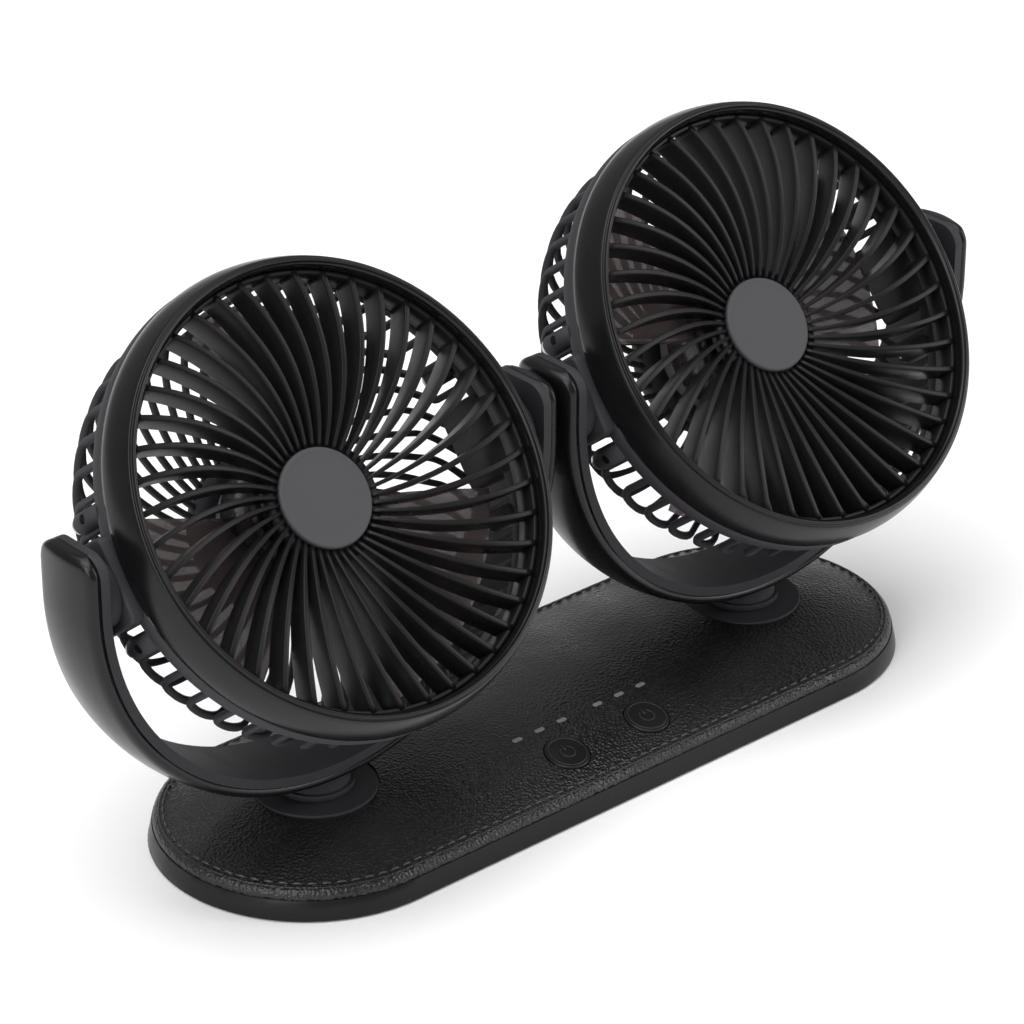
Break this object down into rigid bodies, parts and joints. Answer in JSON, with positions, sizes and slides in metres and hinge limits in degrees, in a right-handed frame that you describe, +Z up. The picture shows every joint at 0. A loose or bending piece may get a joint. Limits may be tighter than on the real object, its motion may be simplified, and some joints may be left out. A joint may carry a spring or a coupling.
{
  "type": "dual-head car fan",
  "caption": "Round tilting fan heads in swivelling yokes side by side on a long domed leather-grained base with round keys and indicator lamps.",
  "frame": {"origin": "centre of the underside of the base", "axes": "X along the base, -Y is the side that the heads and keys face, Z up"},
  "size_m": [0.3208, 0.1065, 0.1627],
  "materials": {
    "body_plastic": "smooth satin black",
    "satin_plastic": "satin black",
    "gloss_plastic": "semi-gloss black",
    "cap_plastic": "matte dark grey",
    "button_plastic": "satin black",
    "leather": "fine-grained black leather with a stitched seam",
    "pad_rubber": "matte black",
    "smoky_plastic": "translucent smoky brown",
    "lamp": "frosted light grey",
    "board": "green laminate",
    "switch_plastic": "matte black",
    "steel": "plain steel",
    "motor_can": "zinc-plated can"
  },
  "bodies": {
    "base": {"base_tray": "body_plastic", "base_pad": "pad_rubber", "top_shell": "body_plastic", "leather_cover": "leather", "base_screws": "steel", "lamp_light_guides": "lamp", "control_board": "board", "button_switches": "switch_plastic", "power_socket": "steel", "left_swivel_plate": "satin_plastic", "right_swivel_plate": "satin_plastic"},
    "left_yoke": {"left_yoke_frame": "satin_plastic", "left_yoke_cover": "gloss_plastic", "left_spindle_retainer": "steel", "left_retainer_screws": "steel"},
    "left_head": {"left_bezel": "gloss_plastic", "left_front_grille": "satin_plastic", "left_hub_cap": "cap_plastic", "left_rear_cage": "satin_plastic", "left_cage_screws": "steel", "left_pivot_discs": "pad_rubber", "left_pivot_screws": "steel", "left_motor": "motor_can"},
    "left_fan": {"left_impeller": "smoky_plastic", "left_motor_shaft": "steel"},
    "left_key": {"left_button": "button_plastic"},
    "right_yoke": {"right_yoke_frame": "satin_plastic", "right_yoke_cover": "gloss_plastic", "right_spindle_retainer": "steel", "right_retainer_screws": "steel"},
    "right_head": {"right_bezel": "gloss_plastic", "right_front_grille": "satin_plastic", "right_hub_cap": "cap_plastic", "right_rear_cage": "satin_plastic", "right_cage_screws": "steel", "right_pivot_discs": "pad_rubber", "right_pivot_screws": "steel", "right_motor": "motor_can"},
    "right_fan": {"right_impeller": "smoky_plastic", "right_motor_shaft": "steel"},
    "right_key": {"right_button": "button_plastic"}
  },
  "joints": [
    {"name": "left_pan", "type": "hinge", "parent": "base", "child": "left_yoke", "pos_m": [-0.0806, 0, 0.012], "axis": [0, 0, 1], "range_deg": [-170, 170]},
    {"name": "left_tilt", "type": "hinge", "parent": "left_yoke", "child": "left_head", "pos_m": [-0.0806, 0, 0.1002], "axis": [-1, 0, 0], "range_deg": [-128, 52]},
    {"name": "left_spin", "type": "hinge", "parent": "left_head", "child": "left_fan", "pos_m": [-0.0806, 0, 0.1002], "axis": [0, -0.788, 0.6157], "continuous": true},
    {"name": "left_press", "type": "slide", "parent": "base", "child": "left_key", "axis": [0, 0.2294, -0.9733], "range_m": [0, 0.0004], "stiffness_N_per_m": 900},
    {"name": "right_pan", "type": "hinge", "parent": "base", "child": "right_yoke", "pos_m": [0.0806, 0, 0.012], "axis": [0, 0, 1], "range_deg": [-170, 170]},
    {"name": "right_tilt", "type": "hinge", "parent": "right_yoke", "child": "right_head", "pos_m": [0.0806, 0, 0.1002], "axis": [-1, 0, 0], "range_deg": [-128, 52]},
    {"name": "right_spin", "type": "hinge", "parent": "right_head", "child": "right_fan", "pos_m": [0.0806, 0, 0.1002], "axis": [0, -0.788, 0.6157], "continuous": true},
    {"name": "right_press", "type": "slide", "parent": "base", "child": "right_key", "axis": [0, 0.2294, -0.9733], "range_m": [0, 0.0004], "stiffness_N_per_m": 900}
  ]
}
